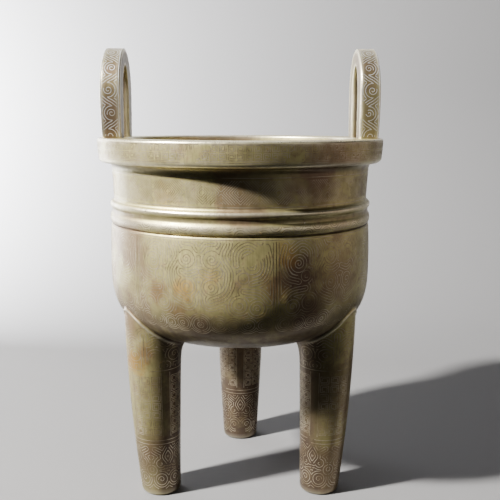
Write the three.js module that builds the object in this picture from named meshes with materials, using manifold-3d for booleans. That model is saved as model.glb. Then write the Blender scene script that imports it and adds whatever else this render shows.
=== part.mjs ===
// Bronze ding: a round, hollow tripod vessel with a flanged rim, two upright loop handles and three tapering legs.
// Millimetres, +Z up. The origin is on the ground under the centre of the mouth, +X points through a handle,
// and the single leg stands at the back, on +Y.
import * as THREE from 'three';
import { mergeVertices } from 'three/addons/utils/BufferGeometryUtils.js';
import Module from 'manifold-3d';

// Rim: a flat ledge that carries the handles.
const RIM_RADIUS = 62.5;
const RIM_TOP = 155.3;
const RIM_THICKNESS = 10.2;
const RIM_TOP_EASING = 1.0;
const RIM_LOWER_EASING = 2.0;
const MOUTH_RADIUS = 49.5;

// Neck, the two ribs below it, and the belly.
const NECK_RADIUS_TOP = 56.5;
const NECK_RADIUS_FOOT = 55.8;
const RIB_RADIUS = 57.4;
const VALLEY_RADIUS = 56.7;
const UPPER_RIB = { low: 125.8, high: 128.9 };
const LOWER_RIB = { low: 119.2, high: 123.5 };
const CREASE_RADIUS = 56.3;
const CREASE_HEIGHT = 119.0;
const SHOULDER_RADIUS = 57.0;
const BELLY_RADIUS = 57.5;
const BELLY_WIDEST = 104;
const BELLY_BASE = 67;
const BELLY_SQUARENESS = 3.35;

// Walls.
const WALL = 3.5;
const LIP_DEPTH = 8;

// Legs: round bars that stand almost upright on their inner side and lean out on the other.
const LEG_ANGLES = [210, 330, 90];
const LEG_INNER_SOLE = 32.2;
const LEG_INNER_TOP = 31.0;
const LEG_OUTER_SOLE = 49.2;
const LEG_OUTER_TOP = 55.6;
const LEG_TOP = 88;
const LEG_LEAN_POWER = 1.8;
const SOLE_EASING = 1.6;

// Handles: inverted horseshoes that stand on the rim and face sideways.
const HANDLE_INNER = 50.2;
const HANDLE_OUTER = 58.7;
const HANDLE_BOW = 0.7;
const HANDLE_BOW_HEIGHT = 170;
const HANDLE_BOW_REACH = 22;
const HANDLE_TOP = 193.6;
const HANDLE_HALF_WIDTH = 18.2;
const HANDLE_FOOT_HALF_WIDTH = 16.2;
const HANDLE_SPRING = 174.6;
const HANDLE_EASING = 1.1;
const SLOT_HALF_WIDTH = 7.6;
const SLOT_SPRING = 173.6;
const SLOT_TOP = 186.3;
const HANDLE_ROOT = 151;

// Facets.
const BOWL_SEGMENTS = 64;
const LEG_SEGMENTS = 28;
const ARCH_STEPS = 18;
const ARM_STEPS = 4;

const BRONZE = new THREE.MeshStandardMaterial({ color: 0x6d6248, roughness: 0.38, metalness: 0.75 });

const wasm = await Module();
wasm.setup();

// A closed geometry with shared vertices merged, as a manifold solid.
function toSolid(geometry) {
  const bare = geometry.clone();
  bare.deleteAttribute('normal');
  bare.deleteAttribute('uv');
  const merged = mergeVertices(bare, 1e-4);
  const index = merged.index.array;
  const triangles = [];
  for (let i = 0; i < index.length; i += 3) {
    const [a, b, c] = [index[i], index[i + 1], index[i + 2]];
    if (a !== b && b !== c && c !== a) triangles.push(a, b, c);
  }
  const vertProperties = new Float32Array(merged.attributes.position.array);
  const triVerts = new Uint32Array(triangles);
  return new wasm.Manifold(new wasm.Mesh({ numProp: 3, vertProperties, triVerts }));
}

// A manifold solid, back as a flat-shaded three.js geometry.
function toGeometry(solid) {
  const mesh = solid.getMesh();
  const geometry = new THREE.BufferGeometry();
  const corners = new Float32Array(mesh.vertProperties);
  geometry.setAttribute('position', new THREE.BufferAttribute(corners, 3));
  geometry.setIndex(new THREE.BufferAttribute(new Uint32Array(mesh.triVerts), 1));
  geometry.computeVertexNormals();
  return geometry;
}

// A solid of revolution about Z, from [radius, height] points that start and end on the axis, bottom first.
function revolve(profile) {
  const points = profile.map(([radius, height]) => new THREE.Vector2(radius, height));
  const geometry = new THREE.LatheGeometry(points, BOWL_SEGMENTS);
  geometry.rotateX(Math.PI / 2);
  return toSolid(geometry);
}

// A closed skin over rings of equal point count, with a flat fan over the first and the last ring.
function skin(rings) {
  const count = rings[0].length;
  const last = (rings.length - 1) * count;
  const index = [];
  for (let row = 0; row < rings.length - 1; row += 1) {
    for (let k = 0; k < count; k += 1) {
      const a = row * count + k;
      const b = row * count + ((k + 1) % count);
      index.push(a, b, b + count, a, b + count, a + count);
    }
  }
  for (let k = 1; k < count - 1; k += 1) {
    index.push(0, k + 1, k, last, last + k, last + k + 1);
  }
  const geometry = new THREE.BufferGeometry();
  geometry.setAttribute('position', new THREE.Float32BufferAttribute(rings.flat(2), 3));
  geometry.setIndex(index);
  return geometry;
}

// Points of a quarter turn of an eased edge, from one angle in degrees to another.
function easedEdge(radius, height, easing, from, to, steps) {
  const points = [];
  for (let k = 0; k <= steps; k += 1) {
    const angle = THREE.MathUtils.degToRad(from + ((to - from) * k) / steps);
    points.push([radius + easing * Math.cos(angle), height + easing * Math.sin(angle)]);
  }
  return points;
}

// The rounded bottom of the bowl: a squarish quarter ellipse from the axis up to the widest place.
function roundedBottom(widest, base, steps) {
  const points = [];
  for (let k = 0; k <= steps; k += 1) {
    const angle = (Math.PI / 2) * (k / steps);
    const radius = widest * Math.sin(angle) ** (2 / BELLY_SQUARENESS);
    const height = BELLY_WIDEST - (BELLY_WIDEST - base) * Math.cos(angle) ** (2 / BELLY_SQUARENESS);
    points.push([radius, height]);
  }
  return points;
}

// A raised rib with a rounded face: half a sine wave over its base.
function ribPoints({ low, high }, foot, steps) {
  const points = [];
  for (let k = 0; k <= steps; k += 1) {
    const swell = Math.sin((Math.PI * k) / steps) ** 0.6;
    points.push([foot + (RIB_RADIUS - foot) * swell, low + ((high - low) * k) / steps]);
  }
  return points;
}

// The vessel's outside, bottom to rim, closed across the top.
function bowlOutside() {
  const rimFoot = RIM_TOP - RIM_THICKNESS;
  return revolve([
    ...roundedBottom(BELLY_RADIUS, BELLY_BASE, 12),
    [SHOULDER_RADIUS, CREASE_HEIGHT - 0.6],
    [CREASE_RADIUS, CREASE_HEIGHT],
    ...ribPoints(LOWER_RIB, VALLEY_RADIUS, 4),
    ...ribPoints(UPPER_RIB, VALLEY_RADIUS, 4).slice(0, -1),
    [NECK_RADIUS_FOOT, UPPER_RIB.high],
    [NECK_RADIUS_TOP, rimFoot - 3],
    [NECK_RADIUS_TOP + 0.6, rimFoot],
    ...easedEdge(RIM_RADIUS - RIM_LOWER_EASING - 0.5, rimFoot + RIM_LOWER_EASING, RIM_LOWER_EASING, -90, -10, 3),
    ...easedEdge(RIM_RADIUS - RIM_TOP_EASING, RIM_TOP - RIM_TOP_EASING, RIM_TOP_EASING, 0, 90, 3),
    [0, RIM_TOP],
  ]);
}

// The space inside the vessel, open at the mouth.
function bowlInside() {
  const neck = NECK_RADIUS_FOOT - WALL;
  return revolve([
    ...roundedBottom(BELLY_RADIUS - WALL, BELLY_BASE + WALL, 9),
    [SHOULDER_RADIUS - WALL, LOWER_RIB.low],
    [neck, UPPER_RIB.high],
    [neck, RIM_TOP - LIP_DEPTH - 4],
    [MOUTH_RADIUS, RIM_TOP - LIP_DEPTH],
    [MOUTH_RADIUS, RIM_TOP - RIM_TOP_EASING],
    [MOUTH_RADIUS + RIM_TOP_EASING, RIM_TOP],
    [MOUTH_RADIUS + RIM_TOP_EASING, RIM_TOP + 1],
    [0, RIM_TOP + 1],
  ]);
}

// Where a leg's inner and outer lines stand at a height, measured from the vessel's axis.
function legLines(height) {
  const share = Math.min(height / LEG_TOP, 1);
  const inner = LEG_INNER_SOLE + (LEG_INNER_TOP - LEG_INNER_SOLE) * share ** 2;
  const outer = LEG_OUTER_SOLE + (LEG_OUTER_TOP - LEG_OUTER_SOLE) * (1 - (1 - share) ** LEG_LEAN_POWER);
  return { centre: (inner + outer) / 2, radius: (outer - inner) / 2 };
}

// One leg: round sections between its two lines, with an eased sole.
function leg(angle) {
  const turn = THREE.MathUtils.degToRad(angle);
  const heights = [0, 0.5, SOLE_EASING, 8, 18, 28, 38, 48, 58, 68, 78, LEG_TOP];
  const rings = heights.map((height) => {
    const { centre, radius } = legLines(height);
    const rise = Math.min(height / SOLE_EASING, 1);
    const size = radius - SOLE_EASING * (1 - Math.sqrt(1 - (1 - rise) ** 2));
    const ring = [];
    for (let k = 0; k < LEG_SEGMENTS; k += 1) {
      const around = turn + (2 * Math.PI * k) / LEG_SEGMENTS;
      const x = centre * Math.cos(turn) + size * Math.cos(around);
      const y = centre * Math.sin(turn) + size * Math.sin(around);
      ring.push([x, y, height]);
    }
    return ring;
  });
  return toSolid(skin(rings));
}

// A horseshoe outline: [y, z] points up one arm, over an elliptical arch and down the other arm.
function horseshoe(halfWidth, footHalfWidth, spring, top) {
  const points = [];
  for (let k = 0; k < ARM_STEPS; k += 1) {
    const drop = 1 - k / ARM_STEPS;
    points.push([halfWidth - (halfWidth - footHalfWidth) * drop ** 2, spring - (spring - HANDLE_ROOT) * drop]);
  }
  for (let k = 0; k <= ARCH_STEPS / 2; k += 1) {
    const angle = (Math.PI * k) / ARCH_STEPS;
    points.push([halfWidth * Math.cos(angle), spring + (top - spring) * Math.sin(angle)]);
  }
  const mirrored = points.slice(0, -1).reverse().map(([y, z]) => [-y, z]);
  return [...points, ...mirrored];
}

// The section across the handle's bar, as [share of depth, share of width], with eased corners.
function barSection(width) {
  const u = HANDLE_EASING / (HANDLE_OUTER - HANDLE_INNER);
  const v = HANDLE_EASING / width;
  return [
    [u, 0],
    [1 - u, 0],
    [1, v],
    [1, 1 - v],
    [1 - u, 1],
    [u, 1],
    [0, 1 - v],
    [0, v],
  ];
}

// One handle: the bar's section carried round between the slot's outline and the outer outline.
function handle(side) {
  const outside = horseshoe(HANDLE_HALF_WIDTH, HANDLE_FOOT_HALF_WIDTH, HANDLE_SPRING, HANDLE_TOP);
  const slot = horseshoe(SLOT_HALF_WIDTH, SLOT_HALF_WIDTH, SLOT_SPRING, SLOT_TOP);
  const rings = outside.map(([outerY, outerZ], k) => {
    const [slotY, slotZ] = slot[k];
    const width = Math.hypot(outerY - slotY, outerZ - slotZ);
    return barSection(width).map(([depth, across]) => {
      const y = slotY + (outerY - slotY) * across;
      const z = slotZ + (outerZ - slotZ) * across;
      const bow = HANDLE_BOW * ((z - HANDLE_BOW_HEIGHT) / HANDLE_BOW_REACH) ** 2;
      const x = HANDLE_INNER + (HANDLE_OUTER - HANDLE_INNER - bow) * depth;
      return [x, y, z];
    });
  });
  const solid = toSolid(skin(rings));
  return side > 0 ? solid : solid.rotate([0, 0, 180]);
}

// The whole casting: bowl, legs and handles grown together, then hollowed.
function casting() {
  let solid = bowlOutside();
  for (const angle of LEG_ANGLES) solid = solid.add(leg(angle));
  for (const side of [-1, 1]) solid = solid.add(handle(side));
  return solid.subtract(bowlInside());
}

const vessel = new THREE.Mesh(toGeometry(casting()), BRONZE);
vessel.name = 'ding_vessel';

const ding = new THREE.Group();
ding.add(vessel);

export default ding;
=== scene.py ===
"""A bronze ding: the hollow tripod casting, finely finished, and the silver wire let into its skin.

Lengths are in millimetres until a mesh is made. Plus Z is up, plus X runs through a handle and minus Y is the front.
"""

import math

import bpy
import numpy as np
from mathutils import Matrix, Vector


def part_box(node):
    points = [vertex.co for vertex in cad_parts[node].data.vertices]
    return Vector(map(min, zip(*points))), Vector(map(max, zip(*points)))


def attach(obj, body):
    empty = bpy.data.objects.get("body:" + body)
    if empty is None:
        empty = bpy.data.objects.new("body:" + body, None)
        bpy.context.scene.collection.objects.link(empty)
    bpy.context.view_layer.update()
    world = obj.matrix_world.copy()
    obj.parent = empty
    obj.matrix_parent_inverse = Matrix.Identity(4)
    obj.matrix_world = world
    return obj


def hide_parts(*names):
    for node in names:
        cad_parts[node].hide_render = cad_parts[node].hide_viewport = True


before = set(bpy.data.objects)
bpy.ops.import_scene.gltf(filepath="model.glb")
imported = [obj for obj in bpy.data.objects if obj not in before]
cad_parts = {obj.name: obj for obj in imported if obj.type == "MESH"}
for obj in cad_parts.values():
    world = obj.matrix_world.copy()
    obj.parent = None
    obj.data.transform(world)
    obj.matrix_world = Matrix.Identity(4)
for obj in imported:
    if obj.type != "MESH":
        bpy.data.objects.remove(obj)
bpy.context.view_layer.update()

MM = 0.001
CASTING_NODE = "ding_vessel"
BODY = "root"
BOX_LOW, BOX_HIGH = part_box(CASTING_NODE)
CLEARANCE = 0.06

# The bowl, bottom to top.
BELLY_BASE = 67.0
BELLY_WIDEST = 104.0
BELLY_RADIUS = 57.5
BELLY_SQUARENESS = 3.35
SHOULDER_RADIUS = 57.0
CREASE_HEIGHT = 119.0
CREASE_RADIUS = 56.2
LOWER_RIB = (119.2, 123.5)
UPPER_RIB = (125.8, 128.9)
RIB_RADIUS = 57.4
VALLEY_RADIUS = 56.7
NECK_FOOT_RADIUS = 55.8
NECK_TOP_RADIUS = 56.5
NECK_TOP = 142.1
RIM_RADIUS = BOX_HIGH.x / MM - CLEARANCE
RIM_TOP = 155.3
RIM_UNDERSIDE = 145.1
MOUTH_RADIUS = 49.5
WALL = 3.5

# The legs.
LEG_ANGLES = (210, 330, 90)
LEG_INNER = (32.2, 31.0)
LEG_OUTER = (49.2, 55.6)
LEG_TOP = 88.0
LEG_LEAN_POWER = 1.8
SOLE_EASING = 1.6
SEAM_DROP = 1.3

# The handles.
HANDLE_INNER = 50.2
HANDLE_OUTER = 58.7
HANDLE_BOW = 0.7
HANDLE_HALF_WIDTH = 18.2
HANDLE_FOOT_HALF_WIDTH = 16.2
HANDLE_SPRING = 174.6
HANDLE_TOP = BOX_HIGH.z / MM - CLEARANCE
HANDLE_ROOT = 151.5
SLOT_HALF_WIDTH = 7.6
SLOT_SPRING = 173.6
SLOT_TOP = 186.3
HANDLE_EASING = 0.8

# The silver wire.
BELLY_PITCH = 1.1
CHAIN_PITCH = 0.9
HANDLE_PITCH = 1.05
LEG_PITCH = 1.1
NECK_PITCH = 1.1
WIRE_WIDTH = 0.26
WIRE_PROUD = 0.025
WIRE_DEPTH = 0.2
WIRE_STEP = 0.5
PANELS = 6
PANEL_WIDTH = 2 * math.pi * BELLY_RADIUS / PANELS
MASK_CENTRE = 13.8
FIELD_FOOT = 88.0
LEG_PATTERN_RADIUS = 10.0
HANDLE_PATTERN_DEPTH = 8.5


# --- Meshes ---------------------------------------------------------------------------------------------------------


def add_mesh(name, points, triangles, attributes=None):
    """A smooth piece that rides on the vessel, from points in millimetres and corner numbers, three to a row."""
    mesh = bpy.data.meshes.new(name)
    mesh.vertices.add(len(points))
    mesh.vertices.foreach_set("co", (points * MM).astype(np.float32).ravel())
    mesh.loops.add(triangles.size)
    mesh.loops.foreach_set("vertex_index", triangles.astype(np.int32).ravel())
    mesh.polygons.add(len(triangles))
    mesh.polygons.foreach_set("loop_start", np.arange(0, triangles.size, 3, dtype=np.int32))
    mesh.update(calc_edges=True)
    mesh.shade_smooth()
    for label, values in (attributes or {}).items():
        layer = mesh.attributes.new(label, "FLOAT", "POINT")
        layer.data.foreach_set("value", values.astype(np.float32))
    piece = bpy.data.objects.new(name, mesh)
    bpy.context.scene.collection.objects.link(piece)
    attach(piece, BODY)
    return piece


def closed_skin(rows):
    """Points and triangles of a closed shell over rows of points that run round it.

    Each row is joined to the next by two triangles for every point, the last point of a row is joined to its first,
    and the first and last rows are single places, kept as one point each.
    """
    count, around, _ = rows.shape
    points = np.concatenate([rows[0, :1], rows[1:-1].reshape(-1, 3), rows[-1, :1]])
    number = np.empty((count, around), dtype=np.int64)
    number[0] = 0
    number[1:-1] = 1 + np.arange((count - 2) * around).reshape(count - 2, around)
    number[-1] = len(points) - 1
    a = number[:-1].ravel()
    b = np.roll(number, -1, axis=1)[:-1].ravel()
    c = np.roll(number, -1, axis=1)[1:].ravel()
    d = number[1:].ravel()
    triangles = np.concatenate([np.stack([a, b, c], 1), np.stack([a, c, d], 1)])
    whole = (triangles[:, 0] != triangles[:, 1]) & (triangles[:, 1] != triangles[:, 2])
    triangles = triangles[whole & (triangles[:, 2] != triangles[:, 0])]
    corners = points[triangles]
    volume = np.einsum("ij,ij->i", corners[:, 0], np.cross(corners[:, 1], corners[:, 2])).sum()
    return points, triangles if volume > 0 else triangles[:, ::-1]


def join_shells(shells):
    """One set of points, triangles and finish values, such as worn and painted-shade marks, from several."""
    starts = np.cumsum([0] + [len(points) for points, _, _ in shells[:-1]])
    points = np.concatenate([points for points, _, _ in shells])
    triangles = np.concatenate([triangles + start for (_, triangles, _), start in zip(shells, starts)])
    finish = np.concatenate([finish for _, _, finish in shells])
    return points, triangles, finish


def evenly(line, step):
    """The same line with points spaced evenly along it, about a step apart."""
    along = np.concatenate([[0], np.cumsum(np.linalg.norm(np.diff(line, axis=0), axis=1))])
    count = max(int(round(along[-1] / step)), 2) + 1
    wanted = np.linspace(0, along[-1], count)
    return np.stack([np.interp(wanted, along, line[:, k]) for k in range(line.shape[1])], 1)


def arc(centre, radius, start, end, count):
    """Points of a circle's arc between two angles in degrees."""
    angle = np.radians(np.linspace(start, end, count))
    return np.stack([centre[0] + radius * np.cos(angle), centre[1] + radius * np.sin(angle)], 1)


# --- The bowl -------------------------------------------------------------------------------------------------------


def rounded_bottom(widest, base, step):
    """Radius and height of a squarish quarter ellipse from the axis to the widest place.

    The radius grows with a power of the sine of the turn, and the height with the same power of its cosine.
    """
    turn = np.linspace(0, math.pi / 2, 400)
    radius = widest * np.sin(turn) ** (2 / BELLY_SQUARENESS)
    height = BELLY_WIDEST - (BELLY_WIDEST - base) * np.cos(turn) ** (2 / BELLY_SQUARENESS)
    return evenly(np.stack([radius, height], 1), step)


def rib_profile(low, high, foot_low, foot_high):
    """A rib's rounded face: a flattened half sine wave from its foot, whose radius may differ below and above."""
    share = np.linspace(0, 1, 19)
    foot = np.where(share < 0.5, foot_low, foot_high)
    swell = np.sin(math.pi * share).clip(0) ** 0.6
    return np.stack([foot + (RIB_RADIUS - foot) * swell, low + (high - low) * share], 1)


def outer_profile():
    """Radius and height up the vessel's outside, from the axis under the belly to the inner edge of the rim's top."""
    side_height = np.linspace(BELLY_WIDEST, CREASE_HEIGHT - 0.8, 14)[1:]
    side_drop = (BELLY_RADIUS - SHOULDER_RADIUS) * ((side_height - BELLY_WIDEST) / (CREASE_HEIGHT - BELLY_WIDEST)) ** 2
    shoulder = arc((SHOULDER_RADIUS - 0.62, CREASE_HEIGHT - 0.75), 0.62, 10, 80, 5)
    neck_share = np.linspace(0, 1, 16)[1:]
    neck_radius = NECK_FOOT_RADIUS + (NECK_TOP_RADIUS - NECK_FOOT_RADIUS) * neck_share**1.6
    neck_height = UPPER_RIB[1] + (NECK_TOP - UPPER_RIB[1]) * neck_share
    fillet = 2.6
    under_rim = arc((NECK_TOP_RADIUS + fillet, RIM_UNDERSIDE - fillet), fillet, 178, 92, 9)
    lower_edge = arc((RIM_RADIUS - 2.5, RIM_UNDERSIDE + 2.0), 2.0, -90, -8, 11)
    face_share = np.linspace(0, 1, 12)[1:-1]
    face_radius = RIM_RADIUS - 0.5 * (1 - face_share) ** 1.5
    face_height = lower_edge[-1, 1] + (RIM_TOP - 1.0 - lower_edge[-1, 1]) * face_share
    upper_edge = arc((RIM_RADIUS - 1.0, RIM_TOP - 1.0), 1.0, 0, 90, 8)
    ledge = np.linspace(RIM_RADIUS - 1.0, MOUTH_RADIUS + 1.0, 12)[1:-1]
    return np.concatenate([
        rounded_bottom(BELLY_RADIUS, BELLY_BASE, 1.25),
        np.stack([BELLY_RADIUS - side_drop, side_height], 1),
        shoulder,
        [[CREASE_RADIUS, CREASE_HEIGHT], [CREASE_RADIUS + 0.1, CREASE_HEIGHT + 0.12]],
        rib_profile(*LOWER_RIB, VALLEY_RADIUS, VALLEY_RADIUS),
        [[VALLEY_RADIUS - 0.12, LOWER_RIB[1] + 0.8], [VALLEY_RADIUS - 0.12, UPPER_RIB[0] - 0.8]],
        rib_profile(*UPPER_RIB, VALLEY_RADIUS, NECK_FOOT_RADIUS),
        np.stack([neck_radius, neck_height], 1),
        under_rim,
        lower_edge,
        np.stack([face_radius, face_height], 1),
        upper_edge,
        np.stack([ledge, np.full(len(ledge), RIM_TOP)], 1),
    ])


def inner_profile():
    """Radius and height down the vessel's inside, from the mouth's edge to the axis."""
    edge = arc((MOUTH_RADIUS + 1.0, RIM_TOP - 1.0), 1.0, 90, 180, 7)
    neck = NECK_FOOT_RADIUS - WALL
    lip_low = RIM_TOP - 8.0
    bend_share = np.linspace(0, 1, 9)
    bend_radius = MOUTH_RADIUS + (neck - MOUTH_RADIUS) * (0.5 - 0.5 * np.cos(math.pi * bend_share))
    wall = evenly(np.array([[neck, lip_low - 4], [neck, UPPER_RIB[1]]]), 2.5)[1:]
    lower_wall = evenly(np.array([
        [neck, UPPER_RIB[1]],
        [SHOULDER_RADIUS - WALL, LOWER_RIB[0]],
        [BELLY_RADIUS - WALL, BELLY_WIDEST],
    ]), 2.5)[1:-1]
    return np.concatenate([
        edge,
        evenly(np.array([[MOUTH_RADIUS, RIM_TOP - 1.0], [MOUTH_RADIUS, lip_low]]), 1.4)[1:-1],
        np.stack([bend_radius, lip_low - 4 * bend_share], 1),
        wall,
        lower_wall,
        rounded_bottom(BELLY_RADIUS - WALL, BELLY_BASE + WALL, 2.5)[::-1],
    ])


OUTSIDE = outer_profile()
OUTSIDE_ALONG = np.concatenate([[0], np.cumsum(np.linalg.norm(np.diff(OUTSIDE, axis=0), axis=1))])


def along_at(height):
    """How far up the outside's profile a height lies."""
    return float(np.interp(height, np.maximum.accumulate(OUTSIDE[:, 1]), OUTSIDE_ALONG))


def hand_waver(angle, height):
    """How far the hand-finished bowl strays from a true circle: three slow waves round it, fading out at the rim."""
    wave = 0.10 * np.sin(3 * angle + 1.0 + height / 31) + 0.06 * np.sin(5 * angle + 2.1 - height / 19)
    wave = wave + 0.035 * np.sin(11 * angle + 0.6 + height / 9)
    fade = np.clip((RIM_UNDERSIDE - height) / 12, 0, 1) * np.clip((height - BELLY_BASE) / 6, 0, 1)
    return wave * fade


def on_bowl(across, along):
    """Places and outward directions on the bowl's outside.

    across runs round the front from its middle at the belly's radius, and along runs up the profile from the axis.
    """
    angle = across / BELLY_RADIUS - math.pi / 2
    radius = np.interp(along, OUTSIDE_ALONG, OUTSIDE[:, 0])
    height = np.interp(along, OUTSIDE_ALONG, OUTSIDE[:, 1])
    radius = radius + hand_waver(angle, height)
    reach = 0.3
    rise = np.interp(along + reach, OUTSIDE_ALONG, OUTSIDE[:, 1]) - np.interp(along - reach, OUTSIDE_ALONG, OUTSIDE[:, 1])
    swell = np.interp(along + reach, OUTSIDE_ALONG, OUTSIDE[:, 0]) - np.interp(along - reach, OUTSIDE_ALONG, OUTSIDE[:, 0])
    length = np.hypot(rise, swell)
    outward = np.stack([rise / length * np.cos(angle), rise / length * np.sin(angle), -swell / length], -1)
    return np.stack([radius * np.cos(angle), radius * np.sin(angle), height], -1), outward


def bowl_shell():
    """The bowl as one closed skin: the outer and inner profiles turned about the axis, with the hand's waver."""
    profile = np.concatenate([OUTSIDE, inner_profile()])
    angle = np.linspace(0, 2 * math.pi, 228, endpoint=False)
    radius = profile[:, :1] + np.where(profile[:, :1] > 1, hand_waver(angle[None], profile[:, 1:]), 0)
    height = np.broadcast_to(profile[:, 1:], radius.shape)
    rows = np.stack([radius * np.cos(angle), radius * np.sin(angle), height], -1)
    points, triangles = closed_skin(rows)
    return points, triangles, np.stack([bowl_wear_and_highlight(points), bowl_painted_shade(points)], 1)


def near(value, centre, width):
    """One at a centre value, fading to nothing over a width as a bell."""
    return np.exp(-(((value - centre) / width) ** 2))


def eased(value, start, end):
    """Nothing at the start value and one at the end value, with a smooth step between them."""
    share = np.clip((value - start) / (end - start), 0, 1)
    return share * share * (3 - 2 * share)


def bowl_wear_and_highlight(points):
    """How worn the bowl is: full on the rim's edges and on the crests of the ribs, where the pale worn colour is also a
    painted highlight.
    """
    radius = np.hypot(points[:, 0], points[:, 1])
    height = points[:, 2]
    upper_edge = near(radius, RIM_RADIUS - 0.4, 0.8) * near(height, RIM_TOP - 0.3, 0.8)
    lower_edge = near(radius, RIM_RADIUS - 1.2, 1.2) * near(height, RIM_UNDERSIDE + 0.9, 1.1)
    mouth_edge = near(radius, MOUTH_RADIUS + 0.4, 0.8) * near(height, RIM_TOP - 0.3, 0.8)
    crests = near(height, sum(UPPER_RIB) / 2 + 0.3, 0.8) + 0.8 * near(height, sum(LOWER_RIB) / 2 + 0.4, 1.1)
    crests = crests * (radius > RIB_RADIUS - 0.5)
    return np.clip(upper_edge + 0.7 * lower_edge + 0.8 * mouth_edge + 0.75 * crests, 0, 1)


def bowl_painted_shade(points):
    """Painted shade on the bowl: darker under the belly, in the creases by the ribs and under the rim, where shade
    falls.
    """
    height = points[:, 2]
    under = 0.9 * eased(height, 94, 78)
    creases = 0.8 * near(height, CREASE_HEIGHT, 0.5) + 0.6 * near(height, (LOWER_RIB[1] + UPPER_RIB[0]) / 2, 1.0)
    collar = 0.5 * near(height, NECK_TOP + 1.5, 2.2) * (np.hypot(points[:, 0], points[:, 1]) < RIM_RADIUS - 3)
    return np.clip(under + creases + collar, 0, 1)


# --- The legs -------------------------------------------------------------------------------------------------------


def leg_lines(height):
    """A leg's centre and radius at a height, from its inner line and its outer line, which leans out as it rises."""
    share = np.clip(height / LEG_TOP, 0, 1)
    inner = LEG_INNER[0] + (LEG_INNER[1] - LEG_INNER[0]) * share**2
    outer = LEG_OUTER[0] + (LEG_OUTER[1] - LEG_OUTER[0]) * (1 - (1 - share) ** LEG_LEAN_POWER)
    return (inner + outer) / 2, (outer - inner) / 2


def leg_place(turn, around, height, swell=0.0):
    """Places on a leg's side: a circle about the leg's centre, swelled outwards by an amount."""
    centre, radius = leg_lines(height)
    radius = radius + swell
    x = centre * math.cos(turn) + radius * np.cos(turn + around)
    y = centre * math.sin(turn) + radius * np.sin(turn + around)
    return np.stack([x, y, height + 0 * x], -1)


def leg_meets_belly(around):
    """The height at which each line up a leg's side passes into the belly."""
    height = np.linspace(60, LEG_TOP + 4, 1200)
    bowl_height = np.maximum.accumulate(OUTSIDE[:, 1])
    place = leg_place(0.0, around[:, None], height[None])
    reach = np.hypot(place[..., 0], place[..., 1])
    below = height[None] < np.interp(reach, OUTSIDE[:60, 0], bowl_height[:60])
    return height[below.argmin(axis=1)]


LEG_AROUND = np.linspace(-math.pi, math.pi, 97)
LEG_TOPS = leg_meets_belly(LEG_AROUND)


def leg_flare(around, drop):
    """How far a leg widens where it meets the belly: a small fillet, and a low raised seam just below it.

    The fillet fades with the drop below the belly and is largest on the side that faces the axis, the seam on the
    other side.
    """
    inward = (0.5 - 0.5 * np.cos(around)) ** 2
    fillet = (0.2 + 2.4 * inward) * np.exp(-np.maximum(drop, 0) / 2.6)
    return fillet + 0.38 * (1 - inward) * near(drop, SEAM_DROP, 0.55)


def on_leg(angle):
    """Places and outward directions on a leg's side.

    across runs round it from the side that faces away from the axis, and along is height.
    """
    turn = math.radians(angle)

    def place(across, along):
        around = across / LEG_PATTERN_RADIUS
        swell = leg_flare(around, np.interp(around, LEG_AROUND, LEG_TOPS) - along)
        outward = np.stack([np.cos(turn + around), np.sin(turn + around), 0 * around - 0.06], -1)
        return leg_place(turn, around, along, swell), outward
    return place


def leg_shell(angle):
    """One leg: circles from an eased sole to the belly, closed below by the sole and above inside the wall."""
    turn = math.radians(angle)
    around = np.linspace(0, 2 * math.pi, 84, endpoint=False)
    top = leg_meets_belly(around) + 1.0
    share = np.concatenate([np.linspace(0, 0.88, 40), np.linspace(0.88, 1, 26)[1:]])
    height = SOLE_EASING + (top[None] - SOLE_EASING) * share[:, None]
    side = leg_place(turn, around[None], height, leg_flare(around[None], top[None] - 1.0 - height))
    ease = np.radians(np.linspace(-90, 0, 9)[:-1])
    sole_height = np.repeat(SOLE_EASING * (1 + np.sin(ease))[:, None], len(around), 1)
    sole_shrink = SOLE_EASING * (np.cos(ease) - 1)
    foot = leg_place(turn, around[None], sole_height, sole_shrink[:, None])
    flat_centre, _ = leg_lines(0)
    hub = np.array([flat_centre * math.cos(turn), flat_centre * math.sin(turn), 0])
    flat = hub + (foot[:1] - hub) * np.array([0.0, 0.4, 0.8])[:, None, None]
    inside = np.array([43.3 * math.cos(turn), 43.3 * math.sin(turn), 74.0])
    cap = inside + (side[-1:] - inside) * np.array([0.5, 0.0])[:, None, None]
    points, triangles = closed_skin(np.concatenate([flat, foot, side, cap]))
    centre, _ = leg_lines(points[:, 2])
    facing = np.arctan2(points[:, 1] - centre * math.sin(turn), points[:, 0] - centre * math.cos(turn)) - turn
    facing = (facing + math.pi) % (2 * math.pi) - math.pi
    drop = np.interp(facing, LEG_AROUND, LEG_TOPS) - points[:, 2]
    outer = 0.5 + 0.5 * np.cos(facing)
    # Worn soles, and a pale line along the seam under the belly that is partly worn metal and partly a painted
    # highlight.
    wear_and_highlight = 0.35 * near(points[:, 2], 0.8, 0.9) + 0.8 * near(drop, SEAM_DROP, 0.4) * eased(outer, 0.2, 0.6)
    # Painted shade on the sides that face the axis and the other legs, and in the corner under the belly; the leg is
    # also darker towards the foot, above the sole.
    patina_and_shade = 0.95 * eased(outer, 0.88, 0.42) + 0.5 * near(drop, 0, 0.7)
    patina_and_shade = patina_and_shade + 0.55 * eased(points[:, 2], 34, 8) * eased(points[:, 2], 0.2, 2)
    return points, triangles, np.clip(np.stack([wear_and_highlight, patina_and_shade], 1), 0, 1)


# --- The handles ----------------------------------------------------------------------------------------------------


def horseshoe(half_width, foot_half_width, spring, top):
    """Y and Z up one arm, over an elliptical arch and down the other arm, which narrows towards its foot."""
    drop = np.linspace(1, 0, 25)[:-1]
    arm = np.stack([half_width - (half_width - foot_half_width) * drop**2, spring - (spring - HANDLE_ROOT) * drop], 1)
    turn = np.linspace(0, math.pi, 73)
    arch = np.stack([half_width * np.cos(turn), spring + (top - spring) * np.sin(turn)], 1)
    return np.concatenate([arm, arch, arm[::-1] * [-1, 1]])


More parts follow.
